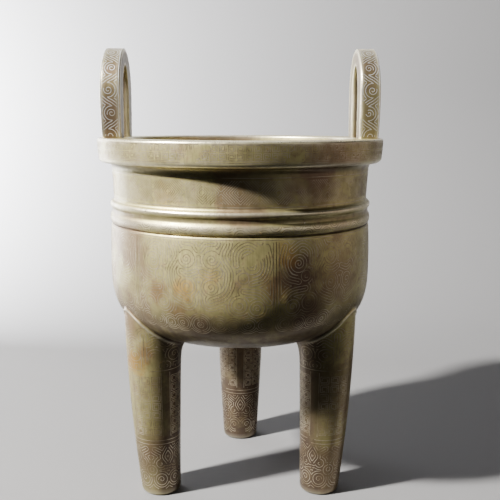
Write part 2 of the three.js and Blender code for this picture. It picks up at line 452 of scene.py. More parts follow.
HANDLE_OUTLINE = horseshoe(HANDLE_HALF_WIDTH, HANDLE_FOOT_HALF_WIDTH, HANDLE_SPRING, HANDLE_TOP)[::-1]
SLOT_OUTLINE = horseshoe(SLOT_HALF_WIDTH, SLOT_HALF_WIDTH, SLOT_SPRING, SLOT_TOP)[::-1]
HANDLE_ALONG = np.concatenate([[0], np.cumsum(np.linalg.norm(np.diff(HANDLE_OUTLINE, axis=0), axis=1))])


def handle_depth(share, height):
    """X across a handle's bar: its outer face bows gently out, most at a third of its height."""
    bow = HANDLE_BOW * ((height - 170) / 22) ** 2
    return HANDLE_INNER + (HANDLE_OUTER - HANDLE_INNER - bow) * share


def eased_section(depth, width, easing):
    """Shares of depth and width round a rectangle with quarter-round corners, as one closed line."""
    corners = ((depth - easing, easing, -90), (depth - easing, width - easing, 0))
    corners += ((easing, width - easing, 90), (easing, easing, 180))
    line = np.concatenate([arc((x, y), easing, start, start + 90, 7) for x, y, start in corners])
    closed = evenly(np.concatenate([line, line[:1]]), 0.62)[:-1]
    return closed / [depth, width]


def handle_shell(side):
    """One handle: the bar's section carried round between the slot's outline and the outer outline."""
    section = eased_section(HANDLE_OUTER - HANDLE_INNER, 9.4, HANDLE_EASING)
    across = SLOT_OUTLINE[:, None] + (HANDLE_OUTLINE - SLOT_OUTLINE)[:, None] * section[None, :, 1:]
    depth = handle_depth(section[None, :, 0], across[..., 1])
    rings = np.stack([side * depth, across[..., 0], across[..., 1]], -1)
    ends = [np.broadcast_to(ring.mean(0), ring.shape)[None] for ring in (rings[0], rings[-1])]
    points, triangles = closed_skin(np.concatenate([ends[0], rings, ends[1]]))
    share = np.concatenate([[0.5], np.tile(section[:, 0], len(rings)), [0.5]])
    width = np.concatenate([[0.5], np.tile(section[:, 1], len(rings)), [0.5]])
    outer_edge = near(width, 1, 0.16) * (near(share, 0, 0.13) + near(share, 1, 0.13))
    slot_edge = near(width, 0, 0.14) * (near(share, 0, 0.13) + near(share, 1, 0.13))
    crown = near(width, 1, 0.2) * np.clip((points[:, 2] - HANDLE_TOP + 5) / 5, 0, 1)
    wear_and_highlight = outer_edge + 0.6 * slot_edge + 0.6 * crown
    # Darker patina over the handle's faces, with painted shade deepening towards the slot; the edges are kept clear.
    patina_and_shade = (0.75 + 0.25 * eased(width, 0.35, 0.0)) * (1 - np.clip(outer_edge + slot_edge, 0, 1))
    return points, triangles, np.clip(np.stack([wear_and_highlight, patina_and_shade], 1), 0, 1)


def on_handle(side):
    """Places on the band that runs up a handle's front edge, over its top and down behind.

    across runs through the handle's depth from the middle, and along runs up from the front foot.
    """
    def place(across, along):
        y = np.interp(along, HANDLE_ALONG, HANDLE_OUTLINE[:, 0])
        z = np.interp(along, HANDLE_ALONG, HANDLE_OUTLINE[:, 1])
        run_y = np.interp(along + 0.4, HANDLE_ALONG, HANDLE_OUTLINE[:, 0]) - y
        run_z = np.interp(along + 0.4, HANDLE_ALONG, HANDLE_OUTLINE[:, 1]) - z
        length = np.hypot(run_y, run_z) + 1e-9
        depth = handle_depth(0.5 + across / HANDLE_PATTERN_DEPTH, z)
        outward = np.stack([0 * y, -run_z / length, run_y / length], -1)
        return np.stack([side * depth, y, z], -1), outward
    return place


def casting():
    """The whole casting: the bowl with its legs and handles, each run a little way into the bowl's metal."""
    shells = [bowl_shell()]
    shells += [leg_shell(angle) for angle in LEG_ANGLES]
    shells += [handle_shell(side) for side in (-1, 1)]
    points, triangles, finish = join_shells(shells)
    reach = np.hypot(points[:, 0], points[:, 1])
    cavity = (reach < NECK_FOOT_RADIUS - WALL + 0.1) & (points[:, 2] > BELLY_BASE + WALL - 0.1)
    cavity &= (reach < np.interp(points[:, 2], OUTSIDE[:60, 1], OUTSIDE[:60, 0]) - WALL * 0.6) | (points[:, 2] > 104)
    inside = cavity * np.clip((RIM_TOP - 2 - points[:, 2]) / 6, 0, 1)
    # The second finish mark is painted shade, with the handles' darker patina; the first is worn metal, partly a
    # painted highlight.
    marks = {"wear_and_highlight": finish[:, 0], "patina_and_shade": finish[:, 1], "inside": inside}
    piece = add_mesh("bronze_casting", points, triangles, marks)
    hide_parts(CASTING_NODE)
    return piece


# --- The drawing of the silver wire -----------------------------------------------------------------------------------


def curve_through(*points):
    """A smooth line through a few points: Catmull-Rom spans, whose direction at a point is that of its neighbours."""
    knots = np.array(points, dtype=float)
    knots = np.concatenate([[2 * knots[0] - knots[1]], knots, [2 * knots[-1] - knots[-2]]])
    share = np.linspace(0, 1, 16, endpoint=False)[:, None, None]
    before, start, end, after = knots[:-3], knots[1:-2], knots[2:-1], knots[3:]
    swing = 2 * before - 5 * start + 4 * end - after
    twist = 3 * (start - end) + after - before
    spans = start + 0.5 * share * (end - before + share * (swing + share * twist))
    return evenly(np.concatenate([spans.transpose(1, 0, 2).reshape(-1, 2), knots[-2:-1]]), WIRE_STEP)


def ring(centre, radius):
    """A closed circle about a centre."""
    return evenly(arc(centre, radius, 0, 360, 72), WIRE_STEP)


def whorl(centre, radius, pitch, phase=0.0, hand=1):
    """A round spiral from its centre out to a radius, which grows by one pitch a turn."""
    reach = np.linspace(0.3 * pitch, radius, 160)
    angle = math.radians(phase) + hand * 2 * math.pi * reach / pitch
    line = np.stack([centre[0] + reach * np.cos(angle), centre[1] + reach * np.sin(angle)], 1)
    return evenly(line, WIRE_STEP * 0.8)


def with_corners(line):
    """The same straight-sided line with points added evenly along it, its corners kept."""
    along = np.concatenate([[0], np.cumsum(np.linalg.norm(np.diff(line, axis=0), axis=1))])
    wanted = np.union1d(along, np.arange(WIRE_STEP, along[-1] - 0.1, 2 * WIRE_STEP))
    return np.stack([np.interp(wanted, along, line[:, 0]), np.interp(wanted, along, line[:, 1])], 1)


def key(centre, size, gap, tilt=0.0, hand=1):
    """A square spiral from its outer corner in: after the first three sides, each pair of sides is a gap shorter."""
    side = np.arange(2 * int(size / gap))
    length = size - gap * np.maximum((side - 1) // 2, 0)
    length = length[length > gap * 0.6]
    angle = math.radians(tilt) + hand * side[:len(length)] * math.pi / 2
    steps = np.stack([np.cos(angle) * length, np.sin(angle) * length], 1)
    corners = np.concatenate([[[0, 0]], np.cumsum(steps, 0)])
    return with_corners(corners - corners[[0, 2]].mean(0) + centre)


def echo(line, distance):
    """The closed line round a drawn line at a distance: its two sides, joined by half circles about its ends."""
    run = np.gradient(line, axis=0)
    run = run / np.linalg.norm(run, axis=1, keepdims=True)
    aside = np.stack([-run[:, 1], run[:, 0]], 1) * distance
    turn = math.degrees(math.atan2(aside[-1, 1], aside[-1, 0]))
    far_cap = arc(line[-1], distance, turn, turn - 180, 14)
    turn = math.degrees(math.atan2(-aside[0, 1], -aside[0, 0]))
    near_cap = arc(line[0], distance, turn, turn - 180, 14)
    return evenly(np.concatenate([line + aside, far_cap, (line - aside)[::-1], near_cap]), WIRE_STEP)


def drawn(lines):
    """Lines as one array of points, with a flag on each point that its line goes on to the next point."""
    points = np.concatenate(lines)
    goes_on = np.ones(len(points), dtype=bool)
    goes_on[np.cumsum([len(line) for line in lines]) - 1] = False
    return points, goes_on


def kept(drawing, keep):
    """The part of a drawing whose points are kept, broken wherever a point isn't."""
    points, goes_on = drawing
    return points, goes_on & keep & np.roll(keep, -1)


def together(*drawings):
    """Several drawings as one."""
    return np.concatenate([points for points, _ in drawings]), np.concatenate([goes_on for _, goes_on in drawings])


def repeated(drawing, shifts, mirrored=False):
    """A drawing copied at several shifts across, and each copy turned over about its own middle if asked."""
    points, goes_on = drawing
    flips = (1, -1) if mirrored else (1,)
    copies = [points * [flip, 1] + [shift, 0] for shift in shifts for flip in flips]
    return np.concatenate(copies), np.tile(goes_on, len(copies))


def gap_to(points, seeds, radii):
    """The distance from each point to the nearest of some discs, less than nothing inside one."""
    nearest = np.full(len(points), np.inf)
    for start in range(0, len(seeds), 64):
        away = points[:, None] - seeds[None, start:start + 64]
        gap = np.hypot(away[..., 0], away[..., 1]) - radii[start:start + 64]
        nearest = np.minimum(nearest, gap.min(1))
    return nearest


def echoed(strokes, whorls, others, levels, pitch):
    """Strokes and whorls with their echoes, as a thumb print.

    Each echo runs at an even pitch round its own stroke or whorl, and stops where any other one lies nearer. others
    are further strokes and whorls that aren't drawn, but hold their ground in the same way. A whorl is its centre,
    radius, phase in degrees and hand.
    """
    other_strokes, other_whorls = others
    lines, curls = strokes + other_strokes, whorls + other_whorls
    seeds = np.concatenate(lines + [np.array([centre]) for centre, _, _, _ in curls])
    radii = np.concatenate([np.zeros(len(line)) for line in lines] + [[radius] for _, radius, _, _ in curls])
    spirals = [whorl(centre, radius, pitch, phase, hand) for centre, radius, phase, hand in whorls]
    parts = [drawn(strokes + spirals)]
    for level in range(1, levels + 1):
        distance = level * pitch
        echoes = [echo(line, distance) for line in strokes]
        echoes += [ring(centre, radius + distance) for centre, radius, _, _ in whorls]
        points, goes_on = drawn(echoes)
        parts.append(kept((points, goes_on), gap_to(points, seeds, radii) > distance - 0.07 * pitch))
    return together(*parts)


def turned_over(strokes, whorls, middle):
    """Strokes and whorls reflected about an upright line."""
    lines = [line * [-1, 1] + [2 * middle, 0] for line in strokes]
    curls = [((2 * middle - x, y), radius, 180 - phase, -hand) for (x, y), radius, phase, hand in whorls]
    return lines, curls


def mask_drawing():
    """The belly's field, as half of an animal mask that is turned over about its middle, and about its edge.

    The mask has a nose ridge, an eye under a brow, a horn, a jaw and a body that ends in a curl, and a chain of small
    whorls runs below it. Across runs from the nose, and along runs up from the field's foot.
    """
    half = PANEL_WIDTH / 2
    strokes = [
        curve_through((3.6, 27.5), (2.4, 21), (4.6, 15.2), (9.5, 13.2)),
        curve_through((6.4, 25.6), (11, 28.2), (15.2, 25.4), (15.4, 20.5)),
        curve_through((2.6, 5.5), (6.4, 9.4), (12.6, 10.4)),
        curve_through((19, 28.6), (20.8, 23.5), (17.6, 17), (19.6, 9.6), (25.4, 6.4)),
        curve_through((22.8, 17.4), (25.4, 16.4), (29.0, 17.6)),
        curve_through((23.8, 28.8), (27.4, 28.4), (half - 0.6, 26)),
    ]
    whorls = [
        ((9.4, 20.4), 2.4, 30, 1),
        ((7.2, 3.4), 1.8, 200, -1),
        ((14.2, 4.6), 1.9, 90, 1),
        ((12.6, 15.4), 1.0, 0, 1),
        ((24.9, 22.4), 2.4, 250, -1),
        ((25.2, 11.6), 1.8, 60, 1),
    ]
    chain = [
        ((half, -4.0), 2.1, 0, 1),
        ((half - 7.8, -3.9), 1.5, 45, 1),
        ((half - 13.4, -4.2), 0.9, 200, -1),
        ((half - 19.6, -3.9), 1.6, 100, 1),
        ((half - 25.6, -4.0), 1.1, 0, -1),
    ]
    ridge = [curve_through((0, 1.5), (0, 15), (0, 29.2))]
    mirrored = turned_over(strokes, whorls + chain, 0)
    beyond = turned_over(strokes, whorls + chain[1:], half)
    others = (mirrored[0] + beyond[0] + ridge, mirrored[1] + beyond[1] + chain)
    field = echoed(strokes, whorls, others, 8, BELLY_PITCH)
    others = (mirrored[0] + beyond[0] + strokes, mirrored[1] + beyond[1] + whorls)
    links = echoed([], chain, others, 3, CHAIN_PITCH)
    middle = echoed(ridge, [], (strokes + mirrored[0], whorls + mirrored[1]), 3, BELLY_PITCH)
    middle = kept(middle, middle[0][:, 0] > -1e-6)
    drawing = together(field, links, middle)
    points = drawing[0]
    inside = (points[:, 0] > -1e-6) & (points[:, 0] < half + 1e-6) & (points[:, 1] < 29.4) & (points[:, 1] > -9)
    return kept(drawing, inside)


def level_ring(height, width=BELLY_RADIUS):
    """A wire right round the bowl at a height."""
    count = int(2 * math.pi * width / WIRE_STEP / 2)
    across = np.linspace(-math.pi, math.pi, count + 1) * BELLY_RADIUS
    return np.stack([across, np.full(count + 1, along_at(height))], 1)


def belly_drawing():
    """Six masks round the belly, under one border wire."""
    shifts = MASK_CENTRE + PANEL_WIDTH * (np.arange(PANELS) - PANELS / 2)
    points, goes_on = repeated(mask_drawing(), shifts, mirrored=True)
    return together((points + [0, along_at(FIELD_FOOT)], goes_on), drawn([level_ring(117.9)]))



def rib_drawing():
    """Overlapping scales on the lower rib: nested rings round small whorls on its two edges by turns."""
    foot, top = along_at(LOWER_RIB[0] + 0.3), along_at(LOWER_RIB[1] - 0.2)
    count = 40
    step = 2 * math.pi * BELLY_RADIUS / count
    unit = [((0, foot), 0.6, 90, 1)]
    around = [((-step / 2, top), 0.6, 0, 1), ((step / 2, top), 0.6, 0, 1), ((-step, foot), 0.6, 0, 1)]
    lower = echoed([], unit, ([], around + [((step, foot), 0.6, 0, 1)]), 5, CHAIN_PITCH)
    flipped = (lower[0] * [1, -1] + [step / 2, foot + top], lower[1])
    points, goes_on = together(lower, flipped)
    scales = kept((points, goes_on), (points[:, 1] > foot) & (points[:, 1] < top))
    return repeated(scales, step * (np.arange(count) - count / 2))


def diamond(radius):
    """A closed diamond about nothing, as far across as it is high."""
    corners = np.array([[radius, 0], [0, radius], [-radius, 0], [0, -radius], [radius, 0]], dtype=float)
    return with_corners(corners)


def neck_drawing():
    """A row of nested diamonds round the neck, cut square where they meet, between border wires."""
    count = 24
    step = 2 * math.pi * BELLY_RADIUS / count
    low, high = along_at(130.2), along_at(141.4)
    middle, reach = (low + high) / 2, (high - low) / 2
    nested = drawn([diamond(radius) for radius in np.arange(3.4, step / 2 + reach, NECK_PITCH)])
    nested = kept(nested, (abs(nested[0][:, 0]) < step / 2) & (abs(nested[0][:, 1]) < reach - 0.9))
    heart = drawn([key((0, 0), 3.4, 0.75, 45)])
    points, goes_on = repeated(together(nested, heart), step * (np.arange(count) - count / 2))
    borders = drawn([level_ring(130.2), level_ring(141.4)])
    return together((points + [0, middle], goes_on), borders)


def rim_drawing():
    """Two rows of square keys round the rim's face, turned left and right by turns, between border wires."""
    count = 120
    step = 2 * math.pi * BELLY_RADIUS / count
    low, high = along_at(149.6), along_at(152.6)
    group = drawn([
        key((0, low), 2.3, 0.55),
        key((step, low), 2.3, 0.55, 180, -1),
        key((0, high), 2.3, 0.55, 270, -1),
        key((step, high), 2.3, 0.55, 90),
    ])
    keys = repeated(group, 2 * step * (np.arange(count // 2) - count / 4))
    return together(keys, drawn([level_ring(147.3), level_ring(147.9), level_ring(154.1)]))


def handle_drawing():
    """A running scroll up a handle's edge, over its top and down behind: whorls left and right, with sloping links."""
    length = HANDLE_ALONG[-1]
    count = 11
    step = length / count
    turns = np.arange(count)
    hands = np.where(turns % 2, -1, 1)
    middles = step * (turns + 0.5)
    whorls = [((0.6 * hand, middle), 1.9, 90 * hand, hand) for hand, middle in zip(hands, middles)]
    link = curve_through((3.2, -2.4), (0.9, -0.5), (-0.9, 0.5), (-3.2, 2.4))
    links = [link * [hand, 1] + [0, middle + step / 2] for hand, middle in zip(hands[:-1], middles)]
    points, goes_on = echoed(links, whorls, ([], []), 7, HANDLE_PITCH)
    inside = (abs(points[:, 0]) < 3.4) & (points[:, 1] > 4.4) & (points[:, 1] < length - 4.4)
    edges = [np.stack([np.full(200, side), np.linspace(4.4, length - 4.4, 200)], 1) for side in (-3.7, 3.7)]
    return together(kept((points, goes_on), inside), drawn(edges))


def leg_foot_drawing(half):
    """The lower field of a leg's half panel: a diamond eye on its middle and curls beside it, as a thumb print."""
    strokes = [
        curve_through((half - 0.5, 23), (half - 2.6, 19), (half - 0.8, 15.4)),
        curve_through((2, 22.6), (4.6, 21)),
    ]
    whorls = [((4.3, 8.2), 1.6, 20, 1), ((4.4, 15.8), 0.9, 180, -1)]
    eye = [((0, 12.6), 1.3, 45, 1)]
    mirrored = turned_over(strokes, whorls, 0)
    beyond = turned_over(strokes, whorls, half)
    field = echoed(strokes, whorls, (mirrored[0] + beyond[0], mirrored[1] + beyond[1] + eye), 7, LEG_PITCH)
    middle = echoed([], eye, (strokes + mirrored[0], whorls + mirrored[1]), 5, LEG_PITCH)
    points, goes_on = together(field, middle)
    inside = (points[:, 0] > -1e-6) & (points[:, 0] < half + 1e-6) & (points[:, 1] > 3.6) & (points[:, 1] < 24)
    return kept((points, goes_on), inside)


def leg_top_drawing(half):
    """The upper field of a leg's half panel: an eye beside a ridge, under a brow."""
    strokes = [curve_through((1.6, 70), (4.6, 72), (half - 0.6, 70))]
    whorls = [((3.9, 65.2), 1.7, 0, 1), ((half - 0.4, 60.6), 0.8, 0, 1)]
    ridge = [curve_through((0, 60), (0, 66), (0, 74))]
    mirrored = turned_over(strokes, whorls, 0)
    beyond = turned_over(strokes, whorls, half)
    field = echoed(strokes, whorls, (mirrored[0] + beyond[0] + ridge, mirrored[1] + beyond[1]), 7, LEG_PITCH)
    middle = echoed(ridge, [], (strokes + mirrored[0], whorls + mirrored[1]), 3, LEG_PITCH)
    points, goes_on = together(field, middle)
    inside = (points[:, 0] > -1e-6) & (points[:, 0] < half + 1e-6) & (points[:, 1] > 59.2) & (points[:, 1] < 84)
    return kept((points, goes_on), inside)


def leg_drawing():
    """Four panels round a leg: curls at the foot, two rings, upright rows of square keys, and an eye above."""
    panels = 4
    width = 2 * math.pi * LEG_PATTERN_RADIUS / panels
    shifts = width * (np.arange(panels) - (panels - 1) / 2)
    fields = repeated(together(leg_foot_drawing(width / 2), leg_top_drawing(width / 2)), shifts, mirrored=True)
    cell = width / 4
    keys = [
        key(((column - 1) * cell, 30.6 + row * cell), 3.1, 0.64, 90 * (row % 2))
        for row in range(7) for column in (0, 1, 2)
    ]
    posts = [np.stack([np.full(60, side), np.linspace(28, 57.4, 60)], 1) for side in (-1.55 * cell, 1.55 * cell)]
    middles = repeated(drawn(keys + posts), shifts)
    across = np.linspace(-math.pi, math.pi, 128) * LEG_PATTERN_RADIUS
    rings = drawn([np.stack([across, np.full(128, height)], 1) for height in (24.9, 26.6, 58.4)])
    points, goes_on = together(fields, middles, rings)
    top = np.interp(points[:, 0] / LEG_PATTERN_RADIUS, LEG_AROUND, LEG_TOPS)
    return kept((points, goes_on), points[:, 1] < top - 1.2)


def add_wires(name, drawings_and_places):
    """Closed wires with a three-cornered section, flat side up and let into the metal, along every drawn line.

    The two upper corners lie half a width to each side of the line and a hair proud, and the third lies below it.
    Here and there a wire is lost, where three slow waves through space add up.
    """
    spots, outwards, flags = [], [], []
    for (points, goes_on), place in drawings_and_places:
        spot, outward = place(points[:, 0], points[:, 1])
        x, y, z = spot.T
        loss = np.sin(x / 3.1 + 2 * np.sin(z / 7)) + np.sin(y / 2.7 + z / 5.3 + 1.7) + np.sin(z / 4.1 - x / 6.5)
        spots.append(spot)
        outwards.append(outward)
        flags.append(goes_on & (loss < 2.3))
    spot, outward, goes_on = np.concatenate(spots), np.concatenate(outwards), np.concatenate(flags)
    used = goes_on | np.roll(goes_on, 1)
    spot, outward, goes_on = spot[used], outward[used], goes_on[used]
    comes_from = np.roll(goes_on, 1)
    ahead = np.where(goes_on[:, None], np.roll(spot, -1, 0), spot)
    ahead = ahead - np.where(comes_from[:, None], np.roll(spot, 1, 0), spot)
    aside = np.cross(outward, ahead)
    aside = aside / np.maximum(np.linalg.norm(aside, axis=1, keepdims=True), 1e-9) * WIRE_WIDTH / 2
    top = spot + outward * WIRE_PROUD
    corners = np.stack([top + aside, top - aside, spot - outward * WIRE_DEPTH], 1).reshape(-1, 3)
    here = np.flatnonzero(goes_on)[:, None] * 3
    first = np.flatnonzero(goes_on & ~comes_from)[:, None] * 3
    last = np.flatnonzero(comes_from & ~goes_on)[:, None] * 3
    sides = [np.concatenate([here + [a, b, b + 3], here + [a, b + 3, a + 3]]) for a, b in ((0, 1), (1, 2), (2, 0))]
    triangles = np.concatenate(sides + [first + [0, 2, 1], last + [0, 1, 2]])
    piece = add_mesh(name, corners, triangles)
    piece.data.set_sharp_from_angle(angle=math.radians(35))
    return piece


def inlay():
    """All the silver wire, in pieces by the part of the vessel that it is let into."""
    pieces = [
        add_wires("belly_wire", [(belly_drawing(), on_bowl)]),
        add_wires("neck_wire", [(rib_drawing(), on_bowl), (neck_drawing(), on_bowl), (rim_drawing(), on_bowl)]),
        add_wires("handle_wire", [(handle_drawing(), on_handle(side)) for side in (-1, 1)]),
    ]
    drawing = leg_drawing()
    pieces.append(add_wires("leg_wire", [(drawing, on_leg(angle)) for angle in LEG_ANGLES]))
    return pieces


# --- Materials ------------------------------------------------------------------------------------------------------


def new_material(name):
    """An empty material and its node tree, with one Principled shader wired to its output."""
    material = bpy.data.materials.new(name)
    material.use_nodes = True
    return material, material.node_tree, material.node_tree.nodes["Principled BSDF"]


def add_node(tree, kind, **settings):
    """A node of a kind, with some of its settings."""
    node = tree.nodes.new(kind)
    for label, value in settings.items():
        setattr(node, label, value)
    return node


def feed(tree, socket, value):
    """Wire an output into a socket, or set a plain number or colour on it."""
    if isinstance(value, bpy.types.NodeSocket):
        tree.links.new(value, socket)
    else:
        socket.default_value = value


def millimetres(tree, stretch=(1, 1, 1), shift=(0, 0, 0)):
    """The place on the vessel in millimetres, stretched along each axis."""
    coordinates = add_node(tree, "ShaderNodeTexCoord")
    mapping = add_node(tree, "ShaderNodeMapping")
    mapping.inputs["Scale"].default_value = [1000 * value for value in stretch]
    mapping.inputs["Location"].default_value = shift
    tree.links.new(coordinates.outputs["Object"], mapping.inputs["Vector"])
    return mapping.outputs["Vector"]


def noise(tree, place, size, detail=3.0, roughness=0.55, distortion=0.0):
    """Soft noise from 0 to 1, whose blotches are about a size in millimetres across."""
    node = add_node(tree, "ShaderNodeTexNoise")
    tree.links.new(place, node.inputs["Vector"])
    node.inputs["Scale"].default_value = 1 / size
    node.inputs["Detail"].default_value = detail
    node.inputs["Roughness"].default_value = roughness
    node.inputs["Distortion"].default_value = distortion
    return node.outputs["Fac"]


def graded(tree, value, low, high, start=0.0, end=1.0):
    """A value carried smoothly from start to end as it goes from low to high, and held beyond them."""
    node = add_node(tree, "ShaderNodeMapRange", interpolation_type="SMOOTHSTEP")
    feed(tree, node.inputs["Value"], value)
    for label, number in (("From Min", low), ("From Max", high), ("To Min", start), ("To Max", end)):
        node.inputs[label].default_value = number
    return node.outputs["Result"]


def maths(tree, operation, first, second=0.0):
    """Two values added, multiplied or compared."""
    node = add_node(tree, "ShaderNodeMath", operation=operation)
    feed(tree, node.inputs[0], first)
    feed(tree, node.inputs[1], second)
    return node.outputs[0]


def blend(tree, amount, below, above, kind="MIX"):
    """One colour over another by an amount."""
    node = add_node(tree, "ShaderNodeMix", data_type="RGBA", blend_type=kind)
    feed(tree, node.inputs["Factor"], amount)
    colours = [socket for socket in node.inputs if socket.type == "RGBA"]
    feed(tree, colours[0], below)
    feed(tree, colours[1], above)
    return [socket for socket in node.outputs if socket.type == "RGBA"][0]


def stain(tree, place, ragged, centre, radius):
    """A round patch about a place in millimetres, with an edge made ragged by noise."""
    node = add_node(tree, "ShaderNodeVectorMath", operation="DISTANCE")
    tree.links.new(place, node.inputs[0])
    node.inputs[1].default_value = centre
    edge = maths(tree, "ADD", node.outputs["Value"], maths(tree, "MULTIPLY", ragged, 1.6 * radius))
    return graded(tree, edge, 1.0 * radius, 1.9 * radius, 1, 0)


def specks(tree, place, size, reach):
    """Sparse small round spots, one to a cell about a size across, each a share of the cell wide."""
    node = add_node(tree, "ShaderNodeTexVoronoi")
    tree.links.new(place, node.inputs["Vector"])
    node.inputs["Scale"].default_value = 1 / size
    return graded(tree, node.outputs["Distance"], reach * 0.4, reach, 1, 0)


BROWN = (0.125, 0.072, 0.052, 1)
UMBER = (0.220, 0.145, 0.088, 1)
OLIVE = (0.335, 0.300, 0.125, 1)
KHAKI = (0.450, 0.400, 0.180, 1)
OCHRE = (0.400, 0.215, 0.040, 1)
RUST = (0.190, 0.085, 0.045, 1)
# Pale bare metal for worn edges; on the ribs' crests and the legs' seam it is also a painted highlight.
RUBBED_AND_HIGHLIGHT = (0.850, 0.790, 0.600, 1)
# Near black for the inside of the bowl.
NEAR_BLACK = (0.035, 0.028, 0.022, 1)
# Dark brown for painted shade, and for the handles' darker patina.
DARK = (0.085, 0.058, 0.040, 1)

# Where the stains lie on the vessel in millimetres, and each one's radius, colour and strength.
STAINS = (
    ((-33, -47, 96), 7.0, RUST, 0.65),
    ((-24, -51, 89), 8.0, RUST, 0.55),
    ((-22, -53, 98), 6.0, OCHRE, 0.60),
    ((-12, -56, 103), 6.0, OCHRE, 0.30),
    ((-16, -52, 83), 9.0, BROWN, 0.75),
    ((14, -56, 100), 8.0, RUST, 0.60),
    ((23, -52, 104), 12.0, BROWN, 0.90),
    ((27, -50, 88), 13.0, BROWN, 0.85),
    ((40, -40, 100), 15.0, UMBER, 0.70),
    ((17, -54, 112), 7.0, OCHRE, 0.40),
    ((-30, -48, 133), 7.0, OCHRE, 0.30),
    ((6, -56, 135), 12.0, BROWN, 0.45),
    ((30, -47, 138), 14.0, BROWN, 0.55),
    ((-44, -30, 62), 7.0, OCHRE, 0.75),
    ((-40, -32, 66), 6.0, RUST, 0.60),
    ((-42, -31, 20), 14.0, BROWN, 0.65),
    ((44, -31, 50), 22.0, BROWN, 0.60),
    ((-4, 32, 50), 18.0, RUST, 0.65),
    ((30, 50, 100), 14.0, RUST, 0.45),
    ((-50, 30, 92), 12.0, OCHRE, 0.45),
    ((-20, 54, 90), 16.0, BROWN, 0.60),
)


def bronze_colour(tree, place, wear_and_highlight, patina_and_shade, inside):
    """The patina: olive and khaki clouds, umber and brown where it is thick, ochre and rust stains, worn edges, dark
    brown that is painted shade in the hollows, under the belly and on the legs' inner sides and the handles' own darker
    patina, and a painted highlight on the ribs' crests and the legs' seam.
    """
    clouds = noise(tree, place, 16, 5, 0.62, 0.4)
    drift = noise(tree, place, 30, 4, 0.6)
    mottle = noise(tree, place, 2.6, 6, 0.65)
    ragged = noise(tree, place, 5, 5, 0.65)
    colour = blend(tree, graded(tree, clouds, 0.34, 0.66), OLIVE, KHAKI)
    colour = blend(tree, graded(tree, drift, 0.48, 0.62, 0, 0.8), colour, UMBER)
    colour = blend(tree, graded(tree, mottle, 0.50, 0.72, 0, 0.6), colour, UMBER)
    colour = blend(tree, graded(tree, mottle, 0.26, 0.44, 0.4, 0), colour, KHAKI)
    for centre, radius, hue, strength in STAINS:
        patch = stain(tree, place, ragged, centre, radius)
        colour = blend(tree, maths(tree, "MULTIPLY", patch, strength), colour, hue)
    freckles = maths(tree, "MULTIPLY", specks(tree, place, 2.3, 0.22), graded(tree, ragged, 0.5, 0.7))
    colour = blend(tree, maths(tree, "MULTIPLY", freckles, 0.6), colour, BROWN)
    # The second finish mark blends in dark brown: painted shade under the belly, in creases, under the rim and on the
    # legs' inner sides, and darker patina on the handles.
    darkened = maths(tree, "MULTIPLY", patina_and_shade, graded(tree, ragged, 0.3, 0.6, 0.75, 1.0))
    colour = blend(tree, darkened, colour, DARK)
    # Pale worn metal on the edges; on the ribs' crests and the legs' seam it is also a painted highlight.
    worn_and_highlight = maths(tree, "MULTIPLY", wear_and_highlight, graded(tree, ragged, 0.25, 0.6, 0.45, 1.0))
    colour = blend(tree, maths(tree, "MULTIPLY", worn_and_highlight, 0.8), colour, RUBBED_AND_HIGHLIGHT)
    nicks = maths(tree, "MULTIPLY", specks(tree, place, 5.2, 0.07), graded(tree, mottle, 0.48, 0.6))
    colour = blend(tree, nicks, colour, RUBBED_AND_HIGHLIGHT)
    # Near black inside the bowl, from a little below the mouth downwards.
    return blend(tree, maths(tree, "MULTIPLY", inside, 0.85), colour, NEAR_BLACK), mottle, worn_and_highlight


def bronze():
    """Patinated bronze with a waxed polish: a soft metal sheen, brushed lines, fine pits and a thin clear coat."""
    material, tree, shader = new_material("bronze")
    place = millimetres(tree)
    marks = ("wear_and_highlight", "patina_and_shade", "inside")
    wear_and_highlight, patina_and_shade, inside = (add_node(tree, "ShaderNodeAttribute", attribute_name=mark).outputs["Fac"] for mark in marks)
    colour, mottle, worn_and_highlight = bronze_colour(tree, place, wear_and_highlight, patina_and_shade, inside)
    feed(tree, shader.inputs["Base Color"], colour)
    shader.inputs["Metallic"].default_value = 0.88
    brushed = noise(tree, millimetres(tree, (1, 1, 0.06)), 0.5, 3, 0.6)
    level = noise(tree, millimetres(tree, (0.08, 0.08, 1)), 0.45, 3, 0.6)
    rough = graded(tree, mottle, 0.3, 0.7, 0.42, 0.52)
    rough = maths(tree, "ADD", rough, graded(tree, brushed, 0.35, 0.65, -0.03, 0.04))
    rough = maths(tree, "SUBTRACT", rough, maths(tree, "MULTIPLY", worn_and_highlight, 0.2))
    rough = maths(tree, "ADD", rough, maths(tree, "MULTIPLY", inside, 0.3))
    feed(tree, shader.inputs["Roughness"], rough)
    shader.inputs["Coat Weight"].default_value = 0.22
    shader.inputs["Coat Roughness"].default_value = 0.16
    pits = specks(tree, place, 1.7, 0.13)
    relief = maths(tree, "ADD", maths(tree, "MULTIPLY", brushed, 0.35), maths(tree, "MULTIPLY", level, 0.3))
    relief = maths(tree, "ADD", relief, maths(tree, "MULTIPLY", mottle, 0.9))
    relief = maths(tree, "SUBTRACT", relief, maths(tree, "MULTIPLY", pits, 0.8))
    bump = add_node(tree, "ShaderNodeBump")
    bump.inputs["Strength"].default_value = 0.35
    bump.inputs["Distance"].default_value = 0.05 * MM
    tree.links.new(relief, bump.inputs["Height"])
    tree.links.new(bump.outputs["Normal"], shader.inputs["Normal"])
    return material


